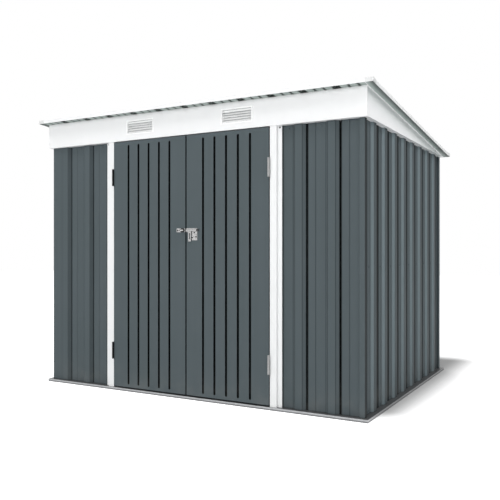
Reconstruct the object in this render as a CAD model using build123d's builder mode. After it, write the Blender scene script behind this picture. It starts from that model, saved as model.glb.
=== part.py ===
from build123d import *
from math import atan2, ceil, cos, sin, tan
import os

# Metal storage shed with a pent roof and a pair of hinged doors, in millimetres.
# +X runs to the right along the front, +Y to the back and +Z up.
# The origin lies on the ground, under the middle of the roof.

# Overall sizes
base_width = 2360.0
base_depth = 1808.0
wall_top = 1651.0
fascia_height = 166.0
rear_lift = 3.5
roof_front_overhang = 48.0
roof_side_overhang = 45.0
roof_rear_overhang = 2.0

# Sheet thicknesses and clearances
panel_sheet = 1.0
frame_sheet = 1.5
cap_wall = 2.0
door_gap = 5.0
door_foot_gap = 6.0
door_seam = 6.0
pin_clearance = 0.3
rod_clearance = 0.5
keeper_clearance = 1.2
cut_overrun = 1.0

# Base rails
rail_height = 18.0
rail_width = 52.0
rail_upstand = 34.0

# Ribbed wall sheets, measured to the right as seen from outside
wall_recess = 26.0
rib_pitch = 202.0
rib_crown = 47.0
rib_slope = 16.0
rib_depth = 15.0
lap_groove_gap = 1.0
lap_groove_width = 12.0
lap_groove_depth = 7.0
bead_width = 16.0
bead_height = 3.0
bead_share = 0.44
front_left_first_rib = 104.0
front_right_first_rib = 154.0
side_first_rib = 171.0
rear_first_rib = 119.0

# Corner posts and inner rails
corner_post_size = 30.0
inner_rail_height = 40.0
inner_rail_flange = 20.0
inner_rail_level_share = 0.5
top_rail_height = 40.0
top_rail_flange = 25.0

# Door posts, a hat section with a return behind the wall
post_opening_half = 585.0
post_front_width = 43.0
post_front_recess = 8.0
post_flange = 28.0
post_return = 55.0

# Fascia, gables and louvred vents
trim_inset = 4.0
trim_flange = 40.0
trim_flange_lap = 4.0
vent_width = 218.0
vent_height = 94.0
vent_centre_x = 364.0
vent_rise = 84.0
vent_border = 8.0
vent_flange = 2.0
vent_sleeve = 1.5
vent_fit = 0.3
vent_slat_count = 5
vent_slat_sheet = 1.5
vent_slat_lap = 1.0
vent_slat_margin = 1.0
vent_slat_depth = 14.0

# Ribbed roof sheets and their edge trim
roof_rib_pitch = 201.0
roof_rib_foot = 52.0
roof_rib_crown = 32.0
roof_rib_height = 18.0
roof_rib_margin = 60.0
roof_bead_width = 24.0
roof_bead_height = 8.0
roof_bead_shares = (0.36, 0.64)
roof_joint_share = 0.72
roof_trim_flange = 40.0
roof_cap_length = 46.0

# Roof beam
beam_height = 46.0
beam_flange = 30.0
beam_depth_share = 0.5

# Doors
door_face_inset = 2.0
door_thickness = 26.0
groove_count = 5
groove_pitch = 82.4
groove_width = 15.0
groove_depth = 10.0
groove_end_margin = 23.0
door_lip = 18.0
brace_height = 50.0
brace_level_shares = (0.18, 0.5, 0.82)

# Hinges
hinge_height = 111.0
hinge_foot_rise = 240.0
hinge_head_drop = 233.0
hinge_sheet = 1.5
hinge_leaf = 22.0
knuckle_radius = 6.5
pin_radius = 3.0
knuckle_clearance = 0.5
door_knuckle_share = 0.36

# Sliding bolt latch
latch_rise = 1030.0
latch_sheet = 1.5
latch_plate_start = 4.0
latch_plate_length = 81.0
latch_plate_height = 24.0
latch_tab_length = 43.0
latch_tab_drop = 51.0
latch_corner = 4.0
guide_length = 38.0
guide_wall = 2.0
guide_margin = 1.0
rod_radius = 4.5
rod_lift = 1.0
rod_tip = 5.0
rod_length = 95.0
rod_chamfer = 1.5
tongue_start = 22.0
tongue_width = 20.0
tongue_length = 70.0
tongue_sheet = 2.5
tongue_slot_width = 7.0
tongue_slot_length = 40.0
tongue_slot_rise = 32.0
keeper_start = 4.0
keeper_length = 66.0
keeper_height = 24.0
keeper_staple_offset = 8.0
keeper_staple_width = 25.0

# Places worked out from the sizes above
roof_fall = fascia_height - rear_lift
roof_run = base_depth - wall_recess - trim_inset
roof_slope = atan2(roof_fall, roof_run)
roof_trim_height = roof_rib_height + panel_sheet + frame_sheet
roof_lean = (roof_trim_height + cap_wall) * sin(roof_slope)
roof_middle_shift = (roof_front_overhang - roof_rear_overhang - roof_lean) / 2
half_width = base_width / 2
front = roof_middle_shift - base_depth / 2
back = front + base_depth
groove_back = rib_depth + lap_groove_depth + panel_sheet
inner_recess = wall_recess + groove_back
wall_height = wall_top - rail_height
wall_front = front + wall_recess
wall_back = back - wall_recess
wall_side = half_width - wall_recess
inner_front = front + inner_recess
inner_back = back - inner_recess
inner_side = half_width - inner_recess
post_side = wall_side - corner_post_size
post_front_edge = wall_front + corner_post_size
post_back_edge = wall_back - corner_post_size
wall_start = post_opening_half + post_front_width
front_wall = post_side - wall_start
fascia_face = front + trim_inset
fascia_half = half_width - trim_inset
fascia_top = wall_top + fascia_height
vent_centre_z = wall_top + vent_rise
inner_rail_level = rail_height + inner_rail_level_share * wall_height - inner_rail_height / 2

roof_front = front - roof_front_overhang + frame_sheet + cap_wall
roof_rear = back + roof_rear_overhang - frame_sheet - cap_wall
roof_half = half_width + roof_side_overhang - frame_sheet - cap_wall
roof_length = (roof_rear - roof_front) / cos(roof_slope)

door_width = post_opening_half - door_gap - door_seam / 2
door_bottom = rail_height + door_foot_gap
door_top = wall_top - door_foot_gap
door_height = door_top - door_bottom
door_face = front + door_face_inset
door_middle = door_seam / 2 + door_width / 2
hinge_levels = (door_bottom + hinge_foot_rise, door_top - hinge_head_drop)
hinge_x = post_opening_half - door_gap / 2
hinge_y = door_face - knuckle_radius - pin_clearance
latch_level = door_bottom + latch_rise
rod_y = door_face - latch_sheet - rod_lift - rod_radius

rightward = (1, 0, 0)
leftward = (-1, 0, 0)
backward = (0, 1, 0)
forward = (0, -1, 0)
down_slope = (0, cos(roof_slope), -sin(roof_slope))
up_slope = (0, -cos(roof_slope), sin(roof_slope))


def roof_under(y):
    return fascia_top - (y - fascia_face) * tan(roof_slope)


roof_corner = roof_under(roof_front)


def write(piece, node):
    piece.part.label = node
    export_step(piece.part, f"parts/{node}.step")


def fold(*corners):
    Polyline(*corners)
    offset(amount=frame_sheet, kind=Kind.INTERSECTION, side=Side.LEFT)


def wall_rib(edge):
    # One repeat from the right edge of a crown to the right edge of the next crown
    foot = edge + rib_slope
    groove_start = foot + lap_groove_gap
    groove_end = groove_start + lap_groove_width
    pan_end = edge + rib_pitch - rib_crown - rib_slope
    bead = groove_end + bead_share * (pan_end - groove_end)
    return [
        (edge, 0),
        (foot, rib_depth),
        (groove_start, rib_depth),
        (groove_start + lap_groove_width / 2, rib_depth + lap_groove_depth),
        (groove_end, rib_depth),
        (bead - bead_width / 2, rib_depth),
        (bead, rib_depth - bead_height),
        (bead + bead_width / 2, rib_depth),
        (pan_end, rib_depth),
        (pan_end + rib_slope, 0),
    ]


def wall_sheet(node, corner, direction, length, first_rib, ribs_before=1):
    repeats = ceil((length - first_rib) / rib_pitch)
    face = [(-rib_pitch, 0)]
    for i in range(-ribs_before, repeats + 1):
        face += wall_rib(first_rib + i * rib_pitch)
    rear = [(u, v + panel_sheet) for u, v in reversed(face)]
    floor = Plane(origin=(*corner, rail_height), x_dir=direction, z_dir=(0, 0, 1))
    with BuildPart() as sheet:
        with BuildSketch(floor):
            with BuildLine():
                Polyline(*face, *rear, close=True)
            make_face()
            with Locations((length / 2, groove_back / 2)):
                Rectangle(length, groove_back, mode=Mode.INTERSECT)
        extrude(amount=wall_height)
    write(sheet, node)


def base_rail(node, corner, direction, length, upstand_start, upstand_length):
    end = Plane(origin=(*corner, 0), x_dir=direction, z_dir=(0, 0, 1))
    section = Plane(origin=end.origin, x_dir=end.y_dir, z_dir=end.x_dir)
    upstand = section.offset(upstand_start)
    with BuildPart() as rail:
        with BuildSketch(section):
            with BuildLine():
                fold((rail_width, rail_height), (0, rail_height), (0, 0), (rail_width, 0))
            make_face()
        extrude(amount=length)
        if upstand_length:
            with BuildSketch(upstand):
                with Locations((inner_recess, rail_height)):
                    Rectangle(frame_sheet, rail_upstand, align=(Align.MIN, Align.MIN))
            extrude(amount=upstand_length)
    write(rail, node)


def corner_post(node, x, y):
    with BuildPart() as post:
        with BuildSketch(Plane.XY.offset(rail_height)):
            with Locations((x, y)):
                Rectangle(corner_post_size, corner_post_size)
                inside = corner_post_size - 2 * frame_sheet
                Rectangle(inside, inside, mode=Mode.SUBTRACT)
        extrude(amount=wall_height)
    write(post, node)


def door_post(side):
    jamb = post_opening_half
    outer = jamb + post_front_width
    face = front + post_front_recess
    with BuildPart() as post:
        with BuildSketch(Plane.XY.offset(rail_height)):
            with BuildLine():
                fold(
                    (jamb + post_return, inner_front + frame_sheet),
                    (jamb, inner_front + frame_sheet),
                    (jamb, face),
                    (outer, face),
                    (outer, wall_front - frame_sheet),
                    (outer + post_flange, wall_front - frame_sheet),
                )
            make_face()
        extrude(amount=wall_height)
        if side == "left":
            mirror(about=Plane.YZ, mode=Mode.REPLACE)
    write(post, f"{side}_door_post")


os.makedirs("parts", exist_ok=True)

# Base frame, open underneath
side_rail = base_depth - 2 * rail_width
side_wall = post_back_edge - post_front_edge
side_start = post_front_edge - front - rail_width
rear_wall = 2 * post_side
rear_start = half_width - post_side
base_rail("front_base_rail", (-half_width, front), rightward, base_width, 0, 0)
base_rail("rear_base_rail", (half_width, back), leftward, base_width, rear_start, rear_wall)
base_rail("right_base_rail", (half_width, front + rail_width), backward, side_rail, side_start, side_wall)
base_rail("left_base_rail", (-half_width, back - rail_width), forward, side_rail, side_start, side_wall)

# Corner posts
post_x = wall_side - corner_post_size / 2
post_half = corner_post_size / 2
corner_post("front_left_corner_post", -post_x, wall_front + post_half)
corner_post("front_right_corner_post", post_x, wall_front + post_half)
corner_post("rear_left_corner_post", -post_x, wall_back - post_half)
corner_post("rear_right_corner_post", post_x, wall_back - post_half)

# Ribbed wall sheets
wall_sheet("front_left_wall", (-post_side, wall_front), rightward, front_wall, front_left_first_rib, 0)
wall_sheet("front_right_wall", (wall_start, wall_front), rightward, front_wall, front_right_first_rib)
wall_sheet("right_wall", (wall_side, post_front_edge), backward, side_wall, side_first_rib)
wall_sheet("left_wall", (-wall_side, post_back_edge), forward, side_wall, side_first_rib)
wall_sheet("rear_wall", (post_side, wall_back), leftward, rear_wall, rear_first_rib)

for side in ("left", "right"):
    door_post(side)


def along_x(node, corners, half_length):
    # A folded strip that runs across the shed, its corners given as (y, z)
    with BuildPart() as strip:
        with BuildSketch(Plane.YZ.offset(-half_length)):
            with BuildLine():
                fold(*corners)
            make_face()
        extrude(amount=2 * half_length)
    write(strip, node)


# Fascia, a channel that stands on the front walls and carries the roof's front edge
fascia_shelf = inner_front + frame_sheet + frame_sheet + trim_flange_lap
flange_end = fascia_face + trim_flange
vent_mouth_width = vent_width - 2 * vent_border
vent_mouth_height = vent_height - 2 * vent_border
vent_sleeve_width = vent_mouth_width + 2 * vent_sleeve
vent_sleeve_height = vent_mouth_height + 2 * vent_sleeve
with BuildPart() as fascia:
    with BuildSketch(Plane.YZ.offset(-fascia_half)):
        with BuildLine():
            Polyline(
                (fascia_face, wall_top),
                (fascia_face + frame_sheet, wall_top),
                (fascia_face + frame_sheet, roof_under(fascia_face + frame_sheet)),
                (fascia_face, fascia_top),
                close=True,
            )
        make_face()
    extrude(amount=2 * fascia_half)
    with BuildSketch(Plane.YZ.offset(frame_sheet - fascia_half)):
        with BuildLine():
            Polyline(
                (fascia_shelf, wall_top),
                (fascia_shelf, wall_top + frame_sheet),
                (fascia_face, wall_top + frame_sheet),
                (fascia_face, wall_top),
                close=True,
            )
        make_face()
        with BuildLine():
            Polyline(
                (fascia_face, fascia_top),
                (flange_end, roof_under(flange_end)),
                (flange_end, roof_under(flange_end) - frame_sheet),
                (fascia_face, fascia_top - frame_sheet),
                close=True,
            )
        make_face()
    extrude(amount=2 * (fascia_half - frame_sheet))
    with BuildSketch(Plane.XZ.offset(-fascia_face)):
        with Locations((-vent_centre_x, vent_centre_z), (vent_centre_x, vent_centre_z)):
            Rectangle(vent_sleeve_width + 2 * vent_fit, vent_sleeve_height + 2 * vent_fit)
    extrude(amount=cut_overrun + frame_sheet, both=True, mode=Mode.SUBTRACT)
write(fascia, "front_fascia")

# Louvred vents, each a flange on the fascia's face with a sleeve through it and sloping slats
slat_room = vent_mouth_height - 2 * vent_slat_margin
slat_pitch = (slat_room - vent_slat_sheet - vent_slat_lap) / vent_slat_count
slat_rise = slat_pitch + vent_slat_lap
slat_foot = vent_centre_z - slat_room / 2
slat_nose = fascia_face - vent_flange
slat_tail = slat_nose + vent_slat_depth
for side, sign in (("left", -1), ("right", 1)):
    with BuildPart() as vent:
        with BuildSketch(Plane.XZ.offset(-fascia_face)):
            with Locations((sign * vent_centre_x, vent_centre_z)):
                Rectangle(vent_width, vent_height)
                Rectangle(vent_mouth_width, vent_mouth_height, mode=Mode.SUBTRACT)
        extrude(amount=vent_flange)
        with BuildSketch(Plane.XZ.offset(-fascia_face)):
            with Locations((sign * vent_centre_x, vent_centre_z)):
                Rectangle(vent_sleeve_width, vent_sleeve_height)
                Rectangle(vent_mouth_width, vent_mouth_height, mode=Mode.SUBTRACT)
        extrude(amount=vent_flange - vent_slat_depth)
        with BuildSketch(Plane.YZ.offset(sign * vent_centre_x - vent_mouth_width / 2)):
            for i in range(vent_slat_count):
                foot = slat_foot + i * slat_pitch
                with BuildLine():
                    Polyline(
                        (slat_nose, foot),
                        (slat_tail, foot + slat_rise),
                        (slat_tail, foot + slat_rise + vent_slat_sheet),
                        (slat_nose, foot + vent_slat_sheet),
                        close=True,
                    )
                make_face()
        extrude(amount=vent_mouth_width)
    write(vent, f"{side}_vent")

# Gables, folded at the foot over the side walls and at the top under the roof
gable_start = fascia_face + frame_sheet
gable_shelf = inner_recess - trim_inset + frame_sheet
for side in ("left", "right"):
    with BuildPart() as gable:
        with BuildSketch(Plane.YZ.offset(fascia_half - frame_sheet)):
            with BuildLine():
                Polyline(
                    (gable_start, wall_top),
                    (wall_back, wall_top),
                    (wall_back, roof_under(wall_back)),
                    (gable_start, roof_under(gable_start)),
                    close=True,
                )
            make_face()
        extrude(amount=frame_sheet)
        with BuildSketch(Plane.YZ.offset(fascia_half - gable_shelf)):
            with BuildLine():
                Polyline(
                    (fascia_shelf, wall_top),
                    (wall_back, wall_top),
                    (wall_back, wall_top + frame_sheet),
                    (fascia_shelf, wall_top + frame_sheet),
                    close=True,
                )
            make_face()
        extrude(amount=gable_shelf - frame_sheet)
        with BuildSketch(Plane.YZ.offset(fascia_half - trim_flange)):
            with BuildLine():
                Polyline(
                    (flange_end, roof_under(flange_end)),
                    (wall_back, roof_under(wall_back)),
                    (wall_back, roof_under(wall_back) - frame_sheet),
                    (flange_end, roof_under(flange_end) - frame_sheet),
                    close=True,
                )
            make_face()
        extrude(amount=trim_flange - frame_sheet)
        if side == "left":
            mirror(about=Plane.YZ, mode=Mode.REPLACE)
    write(gable, f"{side}_gable")

# Rails inside the walls and the beam under the roof
rail_back = inner_front + frame_sheet
along_x(
    "front_top_rail",
    [
        (rail_back, wall_top),
        (rail_back, wall_top - top_rail_height),
        (rail_back + top_rail_flange, wall_top - top_rail_height),
    ],
    post_side,
)
along_x(
    "rear_top_rail",
    [
        (inner_back, wall_top - top_rail_height),
        (inner_back, roof_under(inner_back)),
        (inner_back - top_rail_flange, roof_under(inner_back - top_rail_flange)),
    ],
    post_side,
)
along_x(
    "rear_wall_rail",
    [
        (inner_back, inner_rail_level),
        (inner_back, inner_rail_level + inner_rail_height),
        (inner_back - inner_rail_flange, inner_rail_level + inner_rail_height),
    ],
    inner_side - inner_rail_flange,
)
for side in ("left", "right"):
    with BuildPart() as wall_rail:
        with BuildSketch(Plane.XZ.offset(-post_back_edge)):
            with BuildLine():
                fold(
                    (inner_side, inner_rail_level),
                    (inner_side, inner_rail_level + inner_rail_height),
                    (inner_side - inner_rail_flange, inner_rail_level + inner_rail_height),
                )
            make_face()
        extrude(amount=post_back_edge - post_front_edge)
        if side == "left":
            mirror(about=Plane.YZ, mode=Mode.REPLACE)
    write(wall_rail, f"{side}_wall_rail")
beam_web = front + beam_depth_share * base_depth
beam_end = beam_web + beam_flange
beam_foot = roof_under(beam_end) - beam_height
along_x(
    "roof_beam",
    [
        (beam_end, roof_under(beam_end)),
        (beam_web, roof_under(beam_web)),
        (beam_web, beam_foot),
        (beam_end, beam_foot),
    ],
    fascia_half - trim_flange,
)

# Ribbed roof sheets, laid side by side down the slope
roof_plane = Plane(origin=(0, roof_front, roof_corner), x_dir=(1, 0, 0), z_dir=up_slope)
roof_names = ("left_roof_panel", "middle_roof_panel", "right_roof_panel")
roof_ribs_aside = int((roof_half - roof_rib_margin) // roof_rib_pitch)
roof_rib_count = 2 * roof_ribs_aside + 1
roof_centres = [(i - roof_ribs_aside) * roof_rib_pitch for i in range(roof_rib_count)]
roof_run_out = roof_half + roof_rib_pitch


def roof_rib(centre):
    return [
        (centre - roof_rib_foot / 2, 0),
        (centre - roof_rib_crown / 2, roof_rib_height),
        (centre + roof_rib_crown / 2, roof_rib_height),
        (centre + roof_rib_foot / 2, 0),
    ]


def roof_beads(centre):
    # The low beads in the pan to the right of a rib
    points = []
    for share in roof_bead_shares:
        bead = centre + share * roof_rib_pitch
        points += [
            (bead - roof_bead_width / 2, 0),
            (bead, roof_bead_height),
            (bead + roof_bead_width / 2, 0),
        ]
    return points


under = [(-roof_run_out, 0), *roof_beads(roof_centres[0] - roof_rib_pitch)]
for centre in roof_centres:
    under += roof_rib(centre) + roof_beads(centre)
under.append((roof_run_out, 0))
over = [(u, v + panel_sheet) for u, v in reversed(under)]
joints = [
    roof_centres[round(i * roof_rib_count / len(roof_names)) - 1] + roof_joint_share * roof_rib_pitch
    for i in range(1, len(roof_names))
]
edges = [-roof_half, *joints, roof_half]
for node, start, end in zip(roof_names, edges, edges[1:]):
    with BuildPart() as roof_panel:
        with BuildSketch(roof_plane):
            with BuildLine():
                Polyline(*under, *over, close=True)
            make_face()
            with Locations((start, 0)):
                Rectangle(
                    end - start, roof_trim_height, align=(Align.MIN, Align.MIN), mode=Mode.INTERSECT
                )
        extrude(amount=-roof_length)
    write(roof_panel, node)

# Roof edge trims, each an angle that closes the rib ends and laps over the crowns
trim_foot = roof_trim_height - frame_sheet
front_trim_plane = Plane(origin=(-roof_half, roof_front, roof_corner), x_dir=down_slope, z_dir=(1, 0, 0))
for node, mirrored in (("roof_front_trim", False), ("roof_rear_trim", True)):
    with BuildPart() as trim:
        with BuildSketch(front_trim_plane):
            with BuildLine():
                Polyline(
                    (-frame_sheet, 0),
                    (0, 0),
                    (0, trim_foot),
                    (roof_trim_flange, trim_foot),
                    (roof_trim_flange, roof_trim_height),
                    (-frame_sheet, roof_trim_height),
                    close=True,
                )
            make_face()
            if mirrored:
                mirror(about=Plane.YZ.offset(roof_length / 2), mode=Mode.REPLACE)
        extrude(amount=2 * roof_half)
    write(trim, node)
for side in ("left", "right"):
    with BuildPart() as trim:
        with BuildSketch(roof_plane.offset(-roof_trim_flange)):
            with BuildLine():
                Polyline(
                    (roof_half + frame_sheet, 0),
                    (roof_half, 0),
                    (roof_half, trim_foot),
                    (roof_half - roof_trim_flange, trim_foot),
                    (roof_half - roof_trim_flange, roof_trim_height),
                    (roof_half + frame_sheet, roof_trim_height),
                    close=True,
                )
            make_face()
        extrude(amount=2 * roof_trim_flange - roof_length)
        if side == "left":
            mirror(about=Plane.YZ, mode=Mode.REPLACE)
    write(trim, f"roof_{side}_trim")

# Corner caps over the ends of the roof trims
cap_reach = roof_half + frame_sheet + cap_wall
with BuildPart() as caps:
    for end_sign, end_place in ((1, 0), (-1, -roof_length)):
        outer_end = end_place + end_sign * (frame_sheet + cap_wall)
        for sign in (-1, 1):
            with BuildSketch(roof_plane.offset(outer_end)):
                with Locations((sign * (cap_reach - roof_cap_length / 2), 0)):
                    Rectangle(roof_cap_length, roof_trim_height + cap_wall, align=(Align.CENTER, Align.MIN))
            extrude(amount=-end_sign * cap_wall)
            with BuildSketch(roof_plane.offset(outer_end)):
                with Locations((sign * (cap_reach - roof_cap_length / 2), roof_trim_height)):
                    Rectangle(roof_cap_length, cap_wall, align=(Align.CENTER, Align.MIN))
                with Locations((sign * (cap_reach - cap_wall / 2), 0)):
                    Rectangle(cap_wall, roof_trim_height, align=(Align.CENTER, Align.MIN))
            extrude(amount=-end_sign * roof_cap_length)
write(caps, "roof_corner_caps")


# Door leaves, each a pressed tray with long grooves and a lip folded in at the back
door_level = (door_bottom + door_top) / 2
groove_length = door_height - 2 * groove_end_margin
brace_front = door_face + groove_depth + panel_sheet
brace_back = door_face + door_thickness - panel_sheet
brace_half = door_width / 2 - panel_sheet
for side in ("left", "right"):
    with BuildPart() as door:
        with BuildSketch(Plane.XZ.offset(-door_face - door_thickness)):
            with Locations((door_middle, door_level)):
                Rectangle(door_width, door_height)
        extrude(amount=door_thickness)
        with BuildSketch(Plane.XZ.offset(-door_face)):
            with Locations((door_middle, door_level)):
                with GridLocations(groove_pitch, door_height, groove_count, 1):
                    SlotOverall(groove_length, groove_width, rotation=90)
        extrude(amount=-groove_depth, mode=Mode.SUBTRACT)
        back_face = door.faces().sort_by(Axis.Y)[-1]
        offset(amount=-panel_sheet, openings=back_face, kind=Kind.INTERSECTION)
        with BuildSketch(Plane.XZ.offset(-door_face - door_thickness)):
            with Locations((door_middle, door_level)):
                Rectangle(door_width, door_height)
                Rectangle(door_width - 2 * door_lip, door_height - 2 * door_lip, mode=Mode.SUBTRACT)
        extrude(amount=panel_sheet)
        if side == "left":
            mirror(about=Plane.YZ, mode=Mode.REPLACE)
    write(door, f"{side}_door")

    with BuildPart() as braces:
        with BuildSketch(Plane.YZ.offset(door_middle - brace_half)):
            for share in brace_level_shares:
                foot = door_bottom + share * door_height - brace_height / 2
                with BuildLine():
                    fold(
                        (brace_front, foot),
                        (brace_back, foot),
                        (brace_back, foot + brace_height),
                        (brace_front, foot + brace_height),
                    )
                make_face()
        extrude(amount=2 * brace_half)
        if side == "left":
            mirror(about=Plane.YZ, mode=Mode.REPLACE)
    write(braces, f"{side}_door_braces")

# Butt hinges: leaves in the gap between door and post, knuckles in front of it
leaf_start = hinge_y + knuckle_radius + knuckle_clearance
door_knuckle = door_knuckle_share * hinge_height
post_knuckle = (hinge_height - door_knuckle) / 2 - pin_clearance
post_leaf_x = post_opening_half - hinge_sheet
door_leaf_x = post_opening_half - door_gap
for side in ("left", "right"):
    with BuildPart() as post_leaves:
        for level in hinge_levels:
            foot = level - hinge_height / 2
            with BuildSketch(Plane.XY.offset(foot)):
                with Locations((post_leaf_x, leaf_start)):
                    Rectangle(hinge_sheet, hinge_leaf, align=(Align.MIN, Align.MIN))
                with Locations((hinge_x, hinge_y)):
                    Circle(pin_radius)
            extrude(amount=hinge_height)
            for knuckle_foot in (foot, foot + hinge_height - post_knuckle):
                with BuildSketch(Plane.XY.offset(knuckle_foot)):
                    with Locations((hinge_x, hinge_y)):
                        Circle(knuckle_radius)
                    with Locations((post_leaf_x, hinge_y)):
                        Rectangle(hinge_sheet, leaf_start - hinge_y, align=(Align.MIN, Align.MIN))
                extrude(amount=post_knuckle)
        if side == "left":
            mirror(about=Plane.YZ, mode=Mode.REPLACE)
    write(post_leaves, f"{side}_hinge_post_leaves")

    with BuildPart() as door_leaves:
        for level in hinge_levels:
            with BuildSketch(Plane.XY.offset(level - hinge_height / 2)):
                with Locations((door_leaf_x, leaf_start)):
                    Rectangle(hinge_sheet, hinge_leaf, align=(Align.MIN, Align.MIN))
            extrude(amount=hinge_height)
            with BuildSketch(Plane.XY.offset(level - door_knuckle / 2)):
                with Locations((hinge_x, hinge_y)):
                    Circle(knuckle_radius)
                with Locations((door_leaf_x, hinge_y)):
                    Rectangle(hinge_sheet, leaf_start - hinge_y, align=(Align.MIN, Align.MIN))
                with Locations((hinge_x, hinge_y)):
                    Circle(pin_radius + pin_clearance, mode=Mode.SUBTRACT)
            extrude(amount=door_knuckle)
        if side == "left":
            mirror(about=Plane.YZ, mode=Mode.REPLACE)
    write(door_leaves, f"{side}_hinge_door_leaves")


def staple(start, width, clearance):
    # A strap bent round the bolt, with both feet on its plate
    bore = rod_radius + clearance
    rim = bore + guide_wall
    reach = door_face - latch_sheet - rod_y
    with BuildSketch(Plane.YZ.offset(start)) as strap:
        with Locations((rod_y, latch_level)):
            Circle(rim)
            Rectangle(reach, 2 * rim, align=(Align.MIN, Align.CENTER))
            Circle(bore, mode=Mode.SUBTRACT)
            Rectangle(reach, 2 * bore, align=(Align.MIN, Align.CENTER), mode=Mode.SUBTRACT)
        with Locations((rod_y + reach, latch_level)):
            Rectangle(rim + reach, 2 * rim, align=(Align.MAX, Align.CENTER), mode=Mode.INTERSECT)
    extrude(strap.sketch, amount=width)


# Sliding bolt with a slotted tongue, its plate on the right door and its keeper on the left
latch_plate_end = latch_plate_start + latch_plate_length
latch_tab_height = latch_plate_height / 2 + latch_tab_drop
with BuildPart() as latch_plate:
    with BuildSketch(Plane.XZ.offset(-door_face)) as plate_face:
        with Locations((latch_plate_start, latch_level)):
            Rectangle(latch_plate_length, latch_plate_height, align=(Align.MIN, Align.CENTER))
        with Locations((latch_plate_end, latch_level)):
            Rectangle(latch_tab_length, latch_tab_height, align=(Align.MAX, Align.MAX))
        fillet(plate_face.vertices(), latch_corner)
    extrude(amount=latch_sheet)
    staple(latch_plate_end - guide_margin - guide_length, guide_length, rod_clearance)
write(latch_plate, "latch_plate")

with BuildPart() as latch_keeper:
    with BuildSketch(Plane.XZ.offset(-door_face)):
        with Locations((-keeper_start - keeper_length / 2, latch_level)):
            RectangleRounded(keeper_length, keeper_height, latch_corner)
    extrude(amount=latch_sheet)
    staple_start = -keeper_start - keeper_staple_offset - keeper_staple_width
    staple(staple_start, keeper_staple_width, keeper_clearance)
write(latch_keeper, "latch_keeper")

with BuildPart() as latch_bolt:
    with BuildSketch(Plane.YZ.offset(rod_tip)):
        with Locations((rod_y, latch_level)):
            Circle(rod_radius)
    extrude(amount=rod_length)
    ends = latch_bolt.edges().filter_by(GeomType.CIRCLE)
    chamfer(ends, rod_chamfer)
    with BuildSketch(Plane.XZ.offset(-rod_y - tongue_sheet / 2)):
        with Locations((tongue_start, latch_level)):
            Rectangle(tongue_width, tongue_length, align=(Align.MIN, Align.MAX))
        with Locations((tongue_start + tongue_width / 2, latch_level - tongue_length + tongue_slot_rise)):
            SlotOverall(tongue_slot_length, tongue_slot_width, rotation=90, mode=Mode.SUBTRACT)
    extrude(amount=tongue_sheet)
write(latch_bolt, "latch_bolt")
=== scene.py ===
import math
import bpy
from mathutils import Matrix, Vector


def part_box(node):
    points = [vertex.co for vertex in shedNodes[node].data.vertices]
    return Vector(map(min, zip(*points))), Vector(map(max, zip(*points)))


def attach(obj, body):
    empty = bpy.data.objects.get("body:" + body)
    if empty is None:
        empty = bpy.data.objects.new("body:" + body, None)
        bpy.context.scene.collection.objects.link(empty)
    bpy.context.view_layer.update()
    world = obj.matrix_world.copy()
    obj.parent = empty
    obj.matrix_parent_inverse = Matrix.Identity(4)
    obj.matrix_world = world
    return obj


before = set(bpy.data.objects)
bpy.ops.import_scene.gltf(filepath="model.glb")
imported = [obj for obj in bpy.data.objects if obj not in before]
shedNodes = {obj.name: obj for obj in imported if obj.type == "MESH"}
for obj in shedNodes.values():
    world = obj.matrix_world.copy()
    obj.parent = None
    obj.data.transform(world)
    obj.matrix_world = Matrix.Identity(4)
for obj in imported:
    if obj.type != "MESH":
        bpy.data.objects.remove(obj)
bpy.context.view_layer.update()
scene = bpy.context.scene
scene.view_settings.view_transform = "Standard"


def boxOf(node):
    low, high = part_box(node)
    return Vector(low), Vector(high)


# Camera at the photograph's viewing angle, level, no shift
cameraWants = {
    "place": (2.3251, -4.2554, 0.9307),
    "yaw": 28.97,
    "lens": 47.104,
    "sensor": 36.0,
}


def setCamera(wants):
    data = bpy.data.cameras.new("photoCamera")
    data.sensor_fit = "HORIZONTAL"
    data.sensor_width = wants["sensor"]
    data.lens = wants["lens"]
    camera = bpy.data.objects.new("photoCamera", data)
    camera.location = wants["place"]
    camera.rotation_euler = (math.radians(90), 0, math.radians(wants["yaw"]))
    scene.collection.objects.link(camera)
    scene.camera = camera


setCamera(cameraWants)
print("camera: lens", cameraWants["lens"], "yaw", cameraWants["yaw"])


# Small helpers for node trees
def addNode(tree, kind, **settings):
    node = tree.nodes.new(kind)
    for key, value in settings.items():
        setattr(node, key, value)
    return node


def feed(tree, target, socket, source):
    # source is a socket to link, or a plain value
    entry = target.inputs[socket]
    if isinstance(source, bpy.types.NodeSocket):
        tree.links.new(source, entry)
    else:
        entry.default_value = source


def math2(tree, operation, a, b=0.0, clamp=False):
    node = addNode(tree, "ShaderNodeMath", operation=operation, use_clamp=clamp)
    feed(tree, node, 0, a)
    feed(tree, node, 1, b)
    return node.outputs[0]


def ramp01(tree, value, low, high):
    # smooth step from 0 at low to 1 at high
    node = addNode(tree, "ShaderNodeMapRange", interpolation_type="SMOOTHSTEP")
    feed(tree, node, "Value", value)
    feed(tree, node, "From Min", low)
    feed(tree, node, "From Max", high)
    return node.outputs["Result"]


def mixColor(tree, factor, a, b, blend="MIX"):
    node = addNode(tree, "ShaderNodeMix", data_type="RGBA", blend_type=blend)
    feed(tree, node, "Factor", factor)
    feed(tree, node, 6, a)
    feed(tree, node, 7, b)
    return node.outputs[2]


def vectorMath(tree, operation, a, b=None):
    node = addNode(tree, "ShaderNodeVectorMath", operation=operation)
    feed(tree, node, 0, a)
    if b is not None:
        feed(tree, node, "Scale" if operation == "SCALE" else 1, b)
    return node.outputs["Value" if operation in ("DOT_PRODUCT", "LENGTH") else "Vector"]


def splitPlace(tree, place):
    node = addNode(tree, "ShaderNodeSeparateXYZ")
    feed(tree, node, 0, place)
    return node.outputs


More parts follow.
